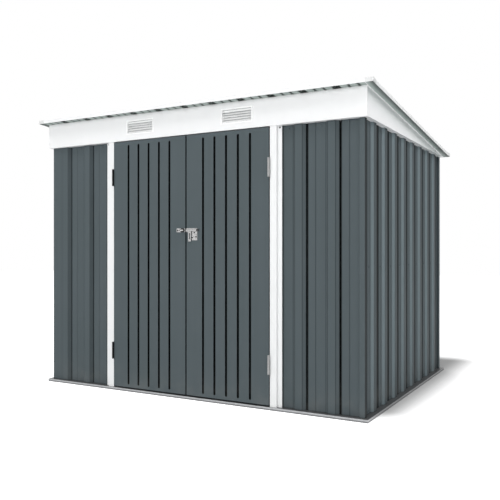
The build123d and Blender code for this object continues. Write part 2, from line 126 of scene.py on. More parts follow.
def wrapWithin(tree, value, low, high):
    node = addNode(tree, "ShaderNodeMath", operation="WRAP")
    feed(tree, node, 0, value)
    feed(tree, node, 1, low)
    feed(tree, node, 2, high)
    return node.outputs[0]


def noiseAt(tree, place, scale, detail):
    node = addNode(tree, "ShaderNodeTexNoise")
    feed(tree, node, "Vector", place)
    feed(tree, node, "Scale", scale)
    feed(tree, node, "Detail", detail)
    return node.outputs


def toneOf(tree, color, value):
    node = addNode(tree, "ShaderNodeHueSaturation")
    feed(tree, node, "Color", color)
    feed(tree, node, "Value", value)
    return node


def newGroup(name, inputs, outputs):
    tree = bpy.data.node_groups.new(name, "ShaderNodeTree")
    for label, kind in inputs:
        tree.interface.new_socket(label, in_out="INPUT", socket_type="NodeSocket" + kind)
    for label, kind in outputs:
        tree.interface.new_socket(label, in_out="OUTPUT", socket_type="NodeSocket" + kind)
    return tree, tree.nodes.new("NodeGroupInput"), tree.nodes.new("NodeGroupOutput")


def useGroup(tree, group, **inputs):
    node = addNode(tree, "ShaderNodeGroup", node_tree=group)
    for label, source in inputs.items():
        feed(tree, node, label, source)
    return node.outputs


# Floor and backdrop: white to the camera, with the shed's shadow kept and a painted shadow: the floor
# is painted darker near the shed
stageWants = {
    "size": 40.0,
    "paintedShadowColor": (0.50, 0.50, 0.50, 1),
    "farColor": (0.94, 0.94, 0.94, 1),
    "farLift": 0.8,
    "shadowMiddle": (0.0, 0.40, 0.0),
    "shadowHalf": (1.12, 0.95, 0.0),
    "shadowFade": 0.35,
    "skyLight": 0.46,
}


def whiteRays(tree):
    path = addNode(tree, "ShaderNodeLightPath")
    seen = math2(tree, "MAXIMUM", path.outputs["Is Camera Ray"], path.outputs["Is Glossy Ray"])
    return math2(tree, "MAXIMUM", seen, path.outputs["Is Transmission Ray"])


def setStage(wants):
    half = wants["size"] / 2
    mesh = bpy.data.meshes.new("floor")
    corners = [(-half, -half, 0), (half, -half, 0), (half, half, 0), (-half, half, 0)]
    mesh.from_pydata(corners, [], [(0, 1, 2, 3)])
    floor = bpy.data.objects.new("floor", mesh)
    scene.collection.objects.link(floor)
    material = bpy.data.materials.new("floorWhite")
    material.use_nodes = True
    tree = material.node_tree
    tree.nodes.clear()
    where = addNode(tree, "ShaderNodeTexCoord")
    # painted shadow: the floor's colour is dark inside a box around the shed and fades to the far
    # colour beyond it
    fromMiddle = vectorMath(tree, "SUBTRACT", where.outputs["Object"], wants["shadowMiddle"])
    beyond = vectorMath(tree, "SUBTRACT", vectorMath(tree, "ABSOLUTE", fromMiddle), wants["shadowHalf"])
    away = vectorMath(tree, "LENGTH", vectorMath(tree, "MAXIMUM", beyond, (0, 0, 0)))
    far = ramp01(tree, away, 0.0, wants["shadowFade"])
    matte = addNode(tree, "ShaderNodeBsdfDiffuse")
    feed(tree, matte, "Color", mixColor(tree, far, wants["paintedShadowColor"], wants["farColor"]))
    lift = addNode(tree, "ShaderNodeEmission")
    glow = math2(tree, "MULTIPLY", far, wants["farLift"])
    feed(tree, lift, "Strength", math2(tree, "MULTIPLY", whiteRays(tree), glow))
    both = addNode(tree, "ShaderNodeAddShader")
    feed(tree, both, 0, matte.outputs[0])
    feed(tree, both, 1, lift.outputs[0])
    out = addNode(tree, "ShaderNodeOutputMaterial")
    feed(tree, out, "Surface", both.outputs[0])
    mesh.materials.append(material)

    world = bpy.data.worlds.new("studio")
    scene.world = world
    world.use_nodes = True
    tree = world.node_tree
    tree.nodes.clear()
    sky = addNode(tree, "ShaderNodeBackground")
    strength = addNode(tree, "ShaderNodeMix", data_type="FLOAT")
    feed(tree, strength, "Factor", whiteRays(tree))
    feed(tree, strength, 2, wants["skyLight"])
    feed(tree, strength, 3, 1.0)
    feed(tree, sky, "Strength", strength.outputs[0])
    feed(tree, sky, "Color", (1, 1, 1, 1))
    out = addNode(tree, "ShaderNodeOutputWorld")
    feed(tree, out, "Surface", sky.outputs[0])


setStage(stageWants)
print("stage: floor and white surroundings")


# Soft lamps: a key in front, a high one that lays the shadow, a softbox far to the right, a fill behind
lampWants = [
    {"name": "key", "turn": -2, "rise": 18, "distance": 9.0, "size": 4.0, "watts": 246},
    {"name": "high", "turn": -8, "rise": 60, "distance": 9.0, "size": 2.4, "watts": 180},
    {"name": "softbox", "turn": 75, "rise": 40, "distance": 7.0, "size": 3.0, "watts": 136},
    {"name": "fill", "turn": -140, "rise": 12, "distance": 9.0, "size": 4.0, "watts": 200},
]
lampAim = (0.3, 0.0, 0.9)


def addLamp(wants):
    # turn counts to the right from straight in front, rise up from level
    turn = math.radians(wants["turn"])
    rise = math.radians(wants["rise"])
    toward = Vector((math.sin(turn) * math.cos(rise), -math.cos(turn) * math.cos(rise), math.sin(rise)))
    data = bpy.data.lights.new(wants["name"], "AREA")
    data.shape = "DISK"
    data.size = wants["size"]
    data.energy = wants["watts"]
    lamp = bpy.data.objects.new(wants["name"], data)
    lamp.location = Vector(lampAim) + toward * wants["distance"]
    lamp.rotation_euler = (-toward).to_track_quat("-Z", "Y").to_euler()
    scene.collection.objects.link(lamp)


for lamp in lampWants:
    addLamp(lamp)
print("lamps:", len(lampWants))


# Shared effects, each a node group
grainWants = {
    "cloudScale": 2.3,
    "cloudDetail": 4.0,
    "streakStretch": (26.0, 26.0, 0.7),
    "streakDetail": 3.0,
    "peelDetail": 2.0,
    "hueSwing": 0.12,
    "roughnessSwing": 0.22,
}


def makeCoatGroup(wants):
    # uneven tone, rolling streaks and orange peel of a baked coat
    tree, source, out = newGroup(
        "coatGrain",
        [("Color", "Color"), ("Place", "Vector"), ("Tone", "Float"), ("Streak", "Float"),
         ("Roughness", "Float"), ("Peel Scale", "Float")],
        [("Color", "Color"), ("Roughness", "Float"), ("Height", "Float")],
    )
    pick = source.outputs
    cloud = noiseAt(tree, pick["Place"], wants["cloudScale"], wants["cloudDetail"])
    squeeze = addNode(tree, "ShaderNodeMapping")
    feed(tree, squeeze, "Vector", pick["Place"])
    feed(tree, squeeze, "Scale", wants["streakStretch"])
    streak = noiseAt(tree, squeeze.outputs[0], 1.0, wants["streakDetail"])
    peel = noiseAt(tree, pick["Place"], pick["Peel Scale"], wants["peelDetail"])
    fromMean = math2(tree, "SUBTRACT", cloud["Fac"], 0.5)
    cloudSwing = math2(tree, "MULTIPLY", fromMean, pick["Tone"])
    streakSwing = math2(tree, "MULTIPLY", math2(tree, "SUBTRACT", streak["Fac"], 0.5), pick["Streak"])
    swing = math2(tree, "ADD", cloudSwing, streakSwing)
    tint = toneOf(tree, pick["Color"], math2(tree, "ADD", swing, 1.0))
    feed(tree, tint, "Hue", math2(tree, "ADD", math2(tree, "MULTIPLY", swing, wants["hueSwing"]), 0.5))
    feed(tree, out, "Color", tint.outputs["Color"])
    uneven = math2(tree, "MULTIPLY", fromMean, wants["roughnessSwing"])
    feed(tree, out, "Roughness", math2(tree, "ADD", pick["Roughness"], uneven, clamp=True))
    feed(tree, out, "Height", peel["Fac"])
    return tree


blotWants = {"scale": 9.0, "detail": 6.0, "low": 0.3, "high": 0.75}


def makeDustGroup(wants):
    # pale dust and rain splash that thins out above the ground
    tree, source, out = newGroup(
        "groundDust",
        [("Color", "Color"), ("Dust Color", "Color"), ("Place", "Vector"), ("Reach", "Float"),
         ("Amount", "Float")],
        [("Color", "Color")],
    )
    pick = source.outputs
    level = splitPlace(tree, pick["Place"])["Z"]
    blot = noiseAt(tree, pick["Place"], wants["scale"], wants["detail"])
    blots = ramp01(tree, blot["Fac"], wants["low"], wants["high"])
    near = math2(tree, "SUBTRACT", 1.0, ramp01(tree, level, 0.0, pick["Reach"]))
    mask = math2(tree, "MULTIPLY", math2(tree, "MULTIPLY", near, near), blots)
    mask = math2(tree, "MULTIPLY", mask, pick["Amount"], clamp=True)
    feed(tree, out, "Color", mixColor(tree, mask, pick["Color"], pick["Dust Color"]))
    return tree


wearWants = {
    "samples": 4,
    "bendLow": 0.02,
    "bendHigh": 0.22,
    "patchScale": 42.0,
    "patchDetail": 5.0,
    "patchLow": 0.42,
    "patchHigh": 0.68,
}


def makeEdgeGroup(wants):
    # folded and cut edges: rounded in the light, the coat rubbed thin
    tree, source, out = newGroup(
        "foldEdge",
        [("Color", "Color"), ("Worn Color", "Color"), ("Place", "Vector"), ("Radius", "Float"),
         ("Amount", "Float")],
        [("Color", "Color"), ("Normal", "Vector")],
    )
    pick = source.outputs
    soft = addNode(tree, "ShaderNodeBevel", samples=wants["samples"])
    feed(tree, soft, "Radius", pick["Radius"])
    flat = addNode(tree, "ShaderNodeNewGeometry")
    lean = vectorMath(tree, "DOT_PRODUCT", soft.outputs[0], flat.outputs["Normal"])
    bend = math2(tree, "SUBTRACT", 1.0, lean)
    bent = ramp01(tree, bend, wants["bendLow"], wants["bendHigh"])
    patch = noiseAt(tree, pick["Place"], wants["patchScale"], wants["patchDetail"])
    patches = ramp01(tree, patch["Fac"], wants["patchLow"], wants["patchHigh"])
    mask = math2(tree, "MULTIPLY", math2(tree, "MULTIPLY", bent, patches), pick["Amount"], clamp=True)
    feed(tree, out, "Color", mixColor(tree, mask, pick["Color"], pick["Worn Color"]))
    feed(tree, out, "Normal", soft.outputs[0])
    return tree


crystalWants = {"warpScale": 1.7, "warpDetail": 2.0, "warpReach": 0.5, "roughnessSwing": 0.5}


def makeSpangleGroup(wants):
    # the crystal flowers of hot-dip zinc
    tree, source, out = newGroup(
        "zincSpangle",
        [("Color", "Color"), ("Place", "Vector"), ("Cell Scale", "Float"), ("Contrast", "Float"),
         ("Roughness", "Float")],
        [("Color", "Color"), ("Roughness", "Float"), ("Height", "Float")],
    )
    pick = source.outputs
    warpScale = math2(tree, "MULTIPLY", pick["Cell Scale"], wants["warpScale"])
    warp = noiseAt(tree, pick["Place"], warpScale, wants["warpDetail"])
    reach = math2(tree, "DIVIDE", wants["warpReach"], pick["Cell Scale"])
    shift = vectorMath(tree, "SCALE", warp["Color"], reach)
    cells = addNode(tree, "ShaderNodeTexVoronoi")
    feed(tree, cells, "Vector", vectorMath(tree, "ADD", pick["Place"], shift))
    feed(tree, cells, "Scale", pick["Cell Scale"])
    grey = addNode(tree, "ShaderNodeSeparateColor")
    feed(tree, grey, 0, cells.outputs["Color"])
    swing = math2(tree, "MULTIPLY", math2(tree, "SUBTRACT", grey.outputs[0], 0.5), pick["Contrast"])
    tint = toneOf(tree, pick["Color"], math2(tree, "ADD", swing, 1.0))
    feed(tree, out, "Color", tint.outputs["Color"])
    uneven = math2(tree, "MULTIPLY", swing, wants["roughnessSwing"])
    feed(tree, out, "Roughness", math2(tree, "ADD", pick["Roughness"], uneven, clamp=True))
    feed(tree, out, "Height", grey.outputs[1])
    return tree


def makeRecessGroup():
    # painted shade in grooves and hollows below a face: depth counts inwards from the sheet's outer
    # face
    tree, source, out = newGroup(
        "recessShade",
        [("Color", "Color"), ("Depth", "Float"), ("Start", "Float"), ("Full", "Float"),
         ("Gate", "Float"), ("Amount", "Float")],
        [("Color", "Color")],
    )
    pick = source.outputs
    deep = ramp01(tree, pick["Depth"], pick["Start"], pick["Full"])
    gated = math2(tree, "MULTIPLY", deep, pick["Gate"])
    mask = math2(tree, "MULTIPLY", gated, pick["Amount"], clamp=True)
    dark = toneOf(tree, pick["Color"], math2(tree, "SUBTRACT", 1.0, mask))
    feed(tree, out, "Color", dark.outputs["Color"])
    return tree


shadeFade = {"start": 0.006, "end": 0.008}


def makeRibGroup(fade):
    # painted shade and highlight of a rolled sheet: dark lines on the folds, a painted shadow in the
    # pan behind a crown, painted shade on the crown and a painted highlight on the slope up to it;
    # Along counts to the right from the right edge of a crown
    tree, source, out = newGroup(
        "paintedRibShade",
        [("Color", "Color"), ("Along", "Float"), ("Pitch", "Float"), ("Crown", "Float"),
         ("Slope", "Float"), ("Bead", "Float"), ("Line Half", "Float"), ("Line Amount", "Float"),
         ("Shade Start", "Float"), ("Shade End", "Float"), ("Shade Amount", "Float"),
         ("Slope Highlight", "Float"), ("Crown Shade", "Float"), ("Gate", "Float")],
        [("Color", "Color")],
    )
    pick = source.outputs
    along = wrapWithin(tree, pick["Along"], 0.0, pick["Pitch"])
    crownStart = math2(tree, "SUBTRACT", pick["Pitch"], pick["Crown"])
    panEnd = math2(tree, "SUBTRACT", crownStart, pick["Slope"])
    lines = 0.0
    for fold in (0.0, pick["Pitch"], pick["Bead"], panEnd, crownStart):
        aside = math2(tree, "ABSOLUTE", math2(tree, "SUBTRACT", along, fold))
        near = math2(tree, "SUBTRACT", 1.0, ramp01(tree, aside, 0.0, pick["Line Half"]))
        lines = math2(tree, "MAXIMUM", near, lines)
    lines = math2(tree, "MULTIPLY", lines, pick["Line Amount"])
    fadeStart = math2(tree, "SUBTRACT", pick["Shade Start"], fade["start"])
    fadeIn = ramp01(tree, along, fadeStart, pick["Shade Start"])
    fadeEnd = math2(tree, "SUBTRACT", pick["Shade End"], fade["end"])
    fadeOut = ramp01(tree, along, fadeEnd, pick["Shade End"])
    band = math2(tree, "MULTIPLY", fadeIn, math2(tree, "SUBTRACT", 1.0, fadeOut))
    shade = math2(tree, "MULTIPLY", band, pick["Shade Amount"])
    onCrown = math2(tree, "GREATER_THAN", along, crownStart)
    shade = math2(tree, "MAXIMUM", shade, math2(tree, "MULTIPLY", onCrown, pick["Crown Shade"]))
    mask = math2(tree, "MULTIPLY", math2(tree, "MAXIMUM", lines, shade), pick["Gate"], clamp=True)
    # painted highlight: the slope up to the crown is made lighter
    onSlope = math2(tree, "SUBTRACT", math2(tree, "GREATER_THAN", along, panEnd), onCrown)
    lift = math2(tree, "MULTIPLY", math2(tree, "MULTIPLY", onSlope, pick["Slope Highlight"]), pick["Gate"])
    tone = toneOf(tree, pick["Color"], math2(tree, "ADD", math2(tree, "SUBTRACT", 1.0, mask), lift))
    feed(tree, out, "Color", tone.outputs["Color"])
    return tree


coatGrain = makeCoatGroup(grainWants)
groundDust = makeDustGroup(blotWants)
foldEdge = makeEdgeGroup(wearWants)
zincSpangle = makeSpangleGroup(crystalWants)
recessShade = makeRecessGroup()
paintedRibShade = makeRibGroup(shadeFade)
print("effects: 6 node groups")


def newMaterial(name):
    material = bpy.data.materials.new(name)
    material.use_nodes = True
    tree = material.node_tree
    tree.nodes.clear()
    shader = addNode(tree, "ShaderNodeBsdfPrincipled")
    out = addNode(tree, "ShaderNodeOutputMaterial")
    feed(tree, out, "Surface", shader.outputs[0])
    where = addNode(tree, "ShaderNodeTexCoord")
    return material, tree, shader, where


def bumpTo(tree, shader, height, strength, distance, normal=None):
    bump = addNode(tree, "ShaderNodeBump")
    feed(tree, bump, "Height", height)
    feed(tree, bump, "Strength", strength)
    feed(tree, bump, "Distance", distance)
    if normal is not None:
        feed(tree, bump, "Normal", normal)
    feed(tree, shader, "Normal", bump.outputs[0])


def alongAxis(tree, vector, direction):
    return vectorMath(tree, "DOT_PRODUCT", vector, direction)


# A normal's share along an axis, from where a mask starts to where it is full
halfTurn = (-0.05, 0.05)
steepTurn = (0.4, 0.6)
innerTurn = (0.5, 0.6)
sharpEdge = 0.0005  # width of a hard painted edge

# Slate paint outside and pale backing coat inside, one material for each way that a sheet faces
panelWants = {
    "color": (0.088, 0.108, 0.1165, 1),
    "backColor": (0.30, 0.33, 0.32, 1),
    "wornColor": (0.20, 0.225, 0.23, 1),
    "dustColor": (0.22, 0.22, 0.21, 1),
    "tone": 0.10,
    "streak": 0.10,
    "roughness": 0.46,
    "specular": 0.02,
    "peelScale": 420.0,
    "peelHeight": 0.0004,
    "peelStrength": 0.12,
    "edgeRadius": 0.0015,
    "edgeAmount": 0.5,
    "dustReach": 0.30,
    "dustAmount": 0.22,
    # painted shade along the foot of the walls
    "footLevel": 0.024,
    "footFull": 0.006,
    "footAmount": 0.45,
}


def finishPanel(tree, shader, where, color, wants):
    place = where.outputs["Object"]
    coat = useGroup(tree, coatGrain, **{
        "Color": color, "Place": place, "Tone": wants["tone"], "Streak": wants["streak"],
        "Roughness": wants["roughness"], "Peel Scale": wants["peelScale"],
    })
    dust = useGroup(tree, groundDust, **{
        "Color": coat["Color"], "Dust Color": wants["dustColor"], "Place": place,
        "Reach": wants["dustReach"], "Amount": wants["dustAmount"],
    })
    color = dust["Color"]
    # painted shade along the foot of a sheet, darker towards its bottom edge where it meets the rail
    if "footAmount" in wants:
        level = alongAxis(tree, place, (0, 0, 1))
        foot = useGroup(tree, recessShade, **{
            "Color": color, "Depth": math2(tree, "SUBTRACT", wants["footLevel"], level), "Start": 0.0,
            "Full": wants["footFull"], "Gate": 1.0, "Amount": wants["footAmount"],
        })
        color = foot["Color"]
    edge = useGroup(tree, foldEdge, **{
        "Color": color, "Worn Color": wants["wornColor"], "Place": place,
        "Radius": wants["edgeRadius"], "Amount": wants["edgeAmount"],
    })
    feed(tree, shader, "Base Color", edge["Color"])
    feed(tree, shader, "Roughness", coat["Roughness"])
    feed(tree, shader, "Specular IOR Level", wants["specular"])
    bumpTo(tree, shader, coat["Height"], wants["peelStrength"], wants["peelHeight"], edge["Normal"])


def plainPaint(name, wants):
    material, tree, shader, where = newMaterial(name)
    finishPanel(tree, shader, where, wants["color"], wants)
    return material


# Wall sheets: to the right as seen from outside, with the first crown's right edge; painted shade on
# the fold lines, in the lap grooves and just behind the crowns, and on the right wall painted shade on
# the crowns and a painted highlight on the slopes
plainWall = {
    "groove": 0.8,
    "lines": 0.6,
    "lineHalf": 0.0036,
    "valley": 0.0,
    "valleyStart": 0.0,
    "valleyEnd": 0.030,
    "slope": 0.0,
    "crown": 0.0,
}
wallWants = {
    "front_left_wall": {**plainWall, "outward": (0, -1, 0), "right": (1, 0, 0), "firstRib": 0.104,
                        "groove": 0.66, "lines": 0.5, "valley": 0.28, "valleyStart": 0.004},
    "front_right_wall": {**plainWall, "outward": (0, -1, 0), "right": (1, 0, 0), "firstRib": 0.154,
                         "groove": 0.84, "lines": 1.0, "valley": 0.84, "valleyStart": 0.0195,
                         "valleyEnd": 0.0365},
    "left_wall": {**plainWall, "outward": (-1, 0, 0), "right": (0, -1, 0), "firstRib": 0.171},
    "right_wall": {**plainWall, "outward": (1, 0, 0), "right": (0, 1, 0), "firstRib": 0.171,
                   "lineHalf": 0.0070, "valley": 0.86, "valleyStart": 0.046, "valleyEnd": 0.079,
                   "slope": 1.3, "crown": 0.2},
    "rear_wall": {**plainWall, "outward": (0, 1, 0), "right": (-1, 0, 0), "firstRib": 0.119},
}
ribWants = {
    "pitch": 0.202,
    "crown": 0.047,
    "slope": 0.016,
    "depth": 0.015,
    "bead": 0.0774,
    "grooveStart": 0.0152,
    "grooveFull": 0.0185,
    "lineAmount": 0.5,
}


def wallPaint(node, wall, rib, wants):
    material, tree, shader, where = newMaterial("slate_" + node)
    low, high = boxOf(node)
    outward = Vector(wall["outward"])
    right = Vector(wall["right"])
    face = max(low.dot(outward), high.dot(outward))
    start = min(low.dot(right), high.dot(right)) + wall["firstRib"]
    outside = ramp01(tree, alongAxis(tree, where.outputs["Normal"], wall["outward"]), *halfTurn)
    depth = math2(tree, "SUBTRACT", face, alongAxis(tree, where.outputs["Object"], wall["outward"]))
    along = math2(tree, "SUBTRACT", alongAxis(tree, where.outputs["Object"], wall["right"]), start)
    lines = useGroup(tree, paintedRibShade, **{
        "Color": wants["color"], "Along": along, "Pitch": rib["pitch"], "Crown": rib["crown"],
        "Slope": rib["slope"], "Bead": rib["bead"], "Line Half": wall["lineHalf"],
        "Line Amount": rib["lineAmount"] * wall["lines"], "Shade Start": wall["valleyStart"],
        "Shade End": wall["valleyEnd"], "Shade Amount": wall["valley"], "Slope Highlight": wall["slope"],
        "Crown Shade": wall["crown"], "Gate": outside,
    })
    # painted shade in the lap grooves below the pans
    shade = useGroup(tree, recessShade, **{
        "Color": lines["Color"], "Depth": depth, "Start": rib["grooveStart"], "Full": rib["grooveFull"],
        "Gate": outside, "Amount": wall["groove"],
    })
    finishPanel(tree, shader, where, mixColor(tree, outside, wants["backColor"], shade["Color"]), wants)
    return material


def dress(node, material):
    mesh = shedNodes[node].data
    mesh.materials.clear()
    mesh.materials.append(material)


for node, wall in wallWants.items():
    dress(node, wallPaint(node, wall, ribWants, panelWants))
print("walls: slate paint on", len(wallWants), "sheets")


# Corner posts: the same coat, with the side faces painted darker as painted shade on the front posts
# and lighter as painted light on the rear right post
postWants = {
    "paintedSideShading": {
        "front_left_corner_post": 0.3,
        "front_right_corner_post": 0.3,
        "rear_left_corner_post": 1.0,
        "rear_right_corner_post": 1.6,
    },
}


def postPaint(node, wants, paint):
    material, tree, shader, where = newMaterial("slate_" + node)
    sideways = math2(tree, "ABSOLUTE", alongAxis(tree, where.outputs["Normal"], (1, 0, 0)))
    paintedSideColor = [part * wants["paintedSideShading"][node] for part in paint["color"][:3]] + [1]
    color = mixColor(tree, ramp01(tree, sideways, *steepTurn), paint["color"], paintedSideColor)
    finishPanel(tree, shader, where, color, paint)
    return material


cornerPosts = [node for node in shedNodes if node.endswith("_corner_post")]
for node in cornerPosts:
    dress(node, postPaint(node, postWants, panelWants))
print("corners: slate paint on", len(cornerPosts), "posts")


# Door leaves: the same coat, with painted shade near black in the pressed grooves and along the seam
# between the leaves
doorWants = {
    "groovePitch": 0.0824,
    "grooveHalf": 0.0077,
    "grooveDepth": 0.0105,
    "endMargin": 0.022,
    "grooveAmount": 0.96,
    "seamHalf": 0.0056,
    "seamAmount": 0.8,
    "sheet": 0.0012,
    # painted shade along the foot of the doors
    "foot": {"footLevel": 0.030, "footFull": 0.003, "footAmount": 0.85},
}


def doorPaint(name, node, wants, paint):
    material, tree, shader, where = newMaterial(name)
    low, high = boxOf(node)
    place = splitPlace(tree, where.outputs["Object"])
    depth = math2(tree, "SUBTRACT", place["Y"], low.y)
    fromMiddle = math2(tree, "SUBTRACT", place["X"], (low.x + high.x) / 2)
    halfPitch = wants["groovePitch"] / 2
    aside = math2(tree, "ABSOLUTE", wrapWithin(tree, fromMiddle, -halfPitch, halfPitch))
    inGroove = math2(tree, "LESS_THAN", aside, wants["grooveHalf"])
    fromLevel = math2(tree, "ABSOLUTE", math2(tree, "SUBTRACT", place["Z"], (low.z + high.z) / 2))
    inLength = math2(tree, "LESS_THAN", fromLevel, (high.z - low.z) / 2 - wants["endMargin"])
    notBehind = math2(tree, "LESS_THAN", depth, wants["grooveDepth"])
    gate = math2(tree, "MULTIPLY", math2(tree, "MULTIPLY", inGroove, inLength), notBehind)
    shade = useGroup(tree, recessShade, **{
        "Color": paint["color"], "Depth": depth, "Start": 0.0, "Full": sharpEdge,
        "Gate": gate, "Amount": wants["grooveAmount"],
    })
    # painted shade in the gap along the seam between the two leaves
    fromSeam = math2(tree, "SUBTRACT", wants["seamHalf"], math2(tree, "ABSOLUTE", place["X"]))
    seam = useGroup(tree, recessShade, **{
        "Color": shade["Color"], "Depth": fromSeam, "Start": 0.0, "Full": sharpEdge,
        "Gate": 1.0, "Amount": wants["seamAmount"],
    })
    inward = ramp01(tree, alongAxis(tree, where.outputs["Normal"], (0, 1, 0)), *innerTurn)
    inside = math2(tree, "MULTIPLY", inward, math2(tree, "GREATER_THAN", depth, wants["sheet"] / 2))
    finishPanel(tree, shader, where, mixColor(tree, inside, seam["Color"], paint["backColor"]), paint)
    return material


for node in ("left_door", "right_door"):
    dress(node, doorPaint("slate_" + node, node, doorWants, {**panelWants, **doorWants["foot"]}))
backingCoat = plainPaint("backingCoat", {**panelWants, "color": panelWants["backColor"]})
for node in ("left_door_braces", "right_door_braces"):
    dress(node, backingCoat)
print("doors: slate paint, dark grooves")


# White coat of the trims, posts and vents, the vents in a paler copy as painted light against the shade
# between their slats
whiteWants = {
    "color": (0.82, 0.83, 0.835, 1),
    "ventLitColor": (0.94, 0.95, 0.95, 1),
    "wornColor": (0.62, 0.63, 0.64, 1),
    "dustColor": (0.55, 0.54, 0.51, 1),
    "tone": 0.03,
    "streak": 0.025,
    "roughness": 0.40,
    "specular": 0.4,
    "peelScale": 420.0,
    "peelHeight": 0.0004,
    "peelStrength": 0.10,
    "edgeRadius": 0.0015,
    "edgeAmount": 0.35,
    "dustReach": 0.22,
    "dustAmount": 0.18,
}
whitePaint = plainPaint("whiteCoat", whiteWants)
whiteNodes = (
    "front_fascia", "left_door_post", "right_door_post",
    "roof_front_trim", "roof_rear_trim", "roof_left_trim", "roof_right_trim",
)
for node in whiteNodes:
    dress(node, whitePaint)
ventLitCoat = plainPaint("ventLitCoat", {**whiteWants, "color": whiteWants["ventLitColor"]})
for node in ("left_vent", "right_vent"):
    dress(node, ventLitCoat)
print("trims: white coat on", len(whiteNodes), "trims and two vents")


roofFall = 162.5 / 1778.0  # drop of the roof for each length towards the rear

# Gables: the white coat, with painted shade below the roof's overhang, left off a thin rim at the top
# as a painted highlight line
gableWants = {
    **whiteWants,
    "color": (0.93, 0.94, 0.95, 1),
    "shadeColor": (0.50, 0.56, 0.55, 1),
    "shadeReach": 0.13,
    "shadeAmount": 0.6,
    "rim": 0.006,
}


def gablePaint(name, wants):
    material, tree, shader, where = newMaterial(name)
    low, high = boxOf("front_fascia")
    place = splitPlace(tree, where.outputs["Object"])
    drop = math2(tree, "MULTIPLY", math2(tree, "SUBTRACT", place["Y"], low.y), roofFall)
    roofLevel = math2(tree, "SUBTRACT", high.z, drop)
    below = math2(tree, "SUBTRACT", roofLevel, place["Z"])
    near = math2(tree, "SUBTRACT", 1.0, ramp01(tree, below, 0.0, wants["shadeReach"]))
    # painted highlight: the thin rim at the top is left out of the painted shade
    belowHighlightRim = math2(tree, "GREATER_THAN", below, wants["rim"])
    shade = math2(tree, "MULTIPLY", math2(tree, "MULTIPLY", near, belowHighlightRim), wants["shadeAmount"])
    finishPanel(tree, shader, where, mixColor(tree, shade, wants["color"], wants["shadeColor"]), wants)
    return material


gableCoat = gablePaint("gableCoat", gableWants)
for node in ("left_gable", "right_gable"):
    dress(node, gableCoat)
print("gables: white coat with a dull edge")


# Roof sheets: grey-green coat, a paler backing coat below; painted light under the front eave with
# painted shade in its hollows, the right soffit painted light near the gable and shade towards the edge
# with a white painted highlight line, the left soffit painted in shade
roofWants = {
    **panelWants,
    "color": (0.17, 0.20, 0.19, 1),
    "backColor": (0.30, 0.35, 0.335, 1),
    "paintedEaveLight": (0.39, 0.445, 0.425, 1),
    "hollowStart": 0.002,
    "hollowFull": 0.005,
    "hollowAmount": 0.8,
    "paintedRimHighlight": 0.005,
    "paintedSoffitLight": (0.48, 0.55, 0.53, 1),
    "paintedSoffitShade": (0.13, 0.15, 0.145, 1),
    "dustAmount": 0.0,
}


def roofPaint(name, wants):
    material, tree, shader, where = newMaterial(name)
    above = ramp01(tree, alongAxis(tree, where.outputs["Normal"], (0, 0, 1)), *halfTurn)
    low, high = boxOf("front_fascia")
    gableFace = boxOf("right_gable")[1].x
    roofEdge = boxOf("right_roof_panel")[1].x
    place = splitPlace(tree, where.outputs["Object"])
    behind = math2(tree, "SUBTRACT", place["Y"], low.y)
    front = math2(tree, "LESS_THAN", behind, 0.0)
    sheetLevel = math2(tree, "SUBTRACT", high.z, math2(tree, "MULTIPLY", behind, roofFall))
    # painted light on the front eave's underside, and painted shade in its hollows
    under = useGroup(tree, recessShade, **{
        "Color": mixColor(tree, front, wants["backColor"], wants["paintedEaveLight"]),
        "Depth": math2(tree, "SUBTRACT", place["Z"], sheetLevel), "Start": wants["hollowStart"],
        "Full": wants["hollowFull"], "Gate": front, "Amount": wants["hollowAmount"],
    })
    # painted light near the gable and painted shade towards the roof's edge, with a white painted
    # highlight line along the gable
    across = place["X"]
    outward = ramp01(tree, across, gableFace, roofEdge)
    eave = mixColor(tree, outward, wants["paintedSoffitLight"], wants["paintedSoffitShade"])
    pastRimHighlight = math2(tree, "GREATER_THAN", across, gableFace + wants["paintedRimHighlight"])
    eave = mixColor(tree, pastRimHighlight, whiteWants["color"], eave)
    below = mixColor(tree, math2(tree, "GREATER_THAN", across, gableFace), under["Color"], eave)
    # the left soffit is painted in the shade colour throughout
    below = mixColor(tree, math2(tree, "LESS_THAN", across, -gableFace), below, wants["paintedSoffitShade"])
    finishPanel(tree, shader, where, mixColor(tree, above, below, wants["color"]), wants)
    return material


roofCoat = roofPaint("roofCoat", roofWants)
for node in ("left_roof_panel", "middle_roof_panel", "right_roof_panel"):
    dress(node, roofCoat)
print("roof: grey-green coat")


# Bare zinc of the rails, with black or darkened parts where a mask says so, such as painted shade on
# the base rails and the left hinges
zincWants = {
    "color": (0.38, 0.39, 0.40, 1),
    "blackColor": (0.006, 0.006, 0.007, 1),
    "cellScale": 90.0,
    "contrast": 0.22,
    "roughness": 0.42,
    "metallic": 0.85,
    "specular": 0.5,
    "bump": 0.05,
    "bumpHeight": 0.0002,
}


def zincFinish(name, wants, blackParts=None):
    # blackParts makes the mask of the black from the place and the normal
    material, tree, shader, where = newMaterial(name)
    cells = useGroup(tree, zincSpangle, **{
        "Color": wants["color"], "Place": where.outputs["Object"], "Cell Scale": wants["cellScale"],
        "Contrast": wants["contrast"], "Roughness": wants["roughness"],
    })
    color = cells["Color"]
    metallic = wants["metallic"]
    if blackParts is not None:
        place = splitPlace(tree, where.outputs["Object"])
        black = blackParts(tree, place, where.outputs["Normal"], wants)
        color = mixColor(tree, black, color, wants["blackColor"])
        metallic = math2(tree, "MULTIPLY", math2(tree, "SUBTRACT", 1.0, black), metallic)
    feed(tree, shader, "Base Color", color)
    feed(tree, shader, "Metallic", metallic)
    feed(tree, shader, "Roughness", cells["Roughness"])
    feed(tree, shader, "Specular IOR Level", wants["specular"])
    bumpTo(tree, shader, cells["Height"], wants["bump"], wants["bumpHeight"])
    return material


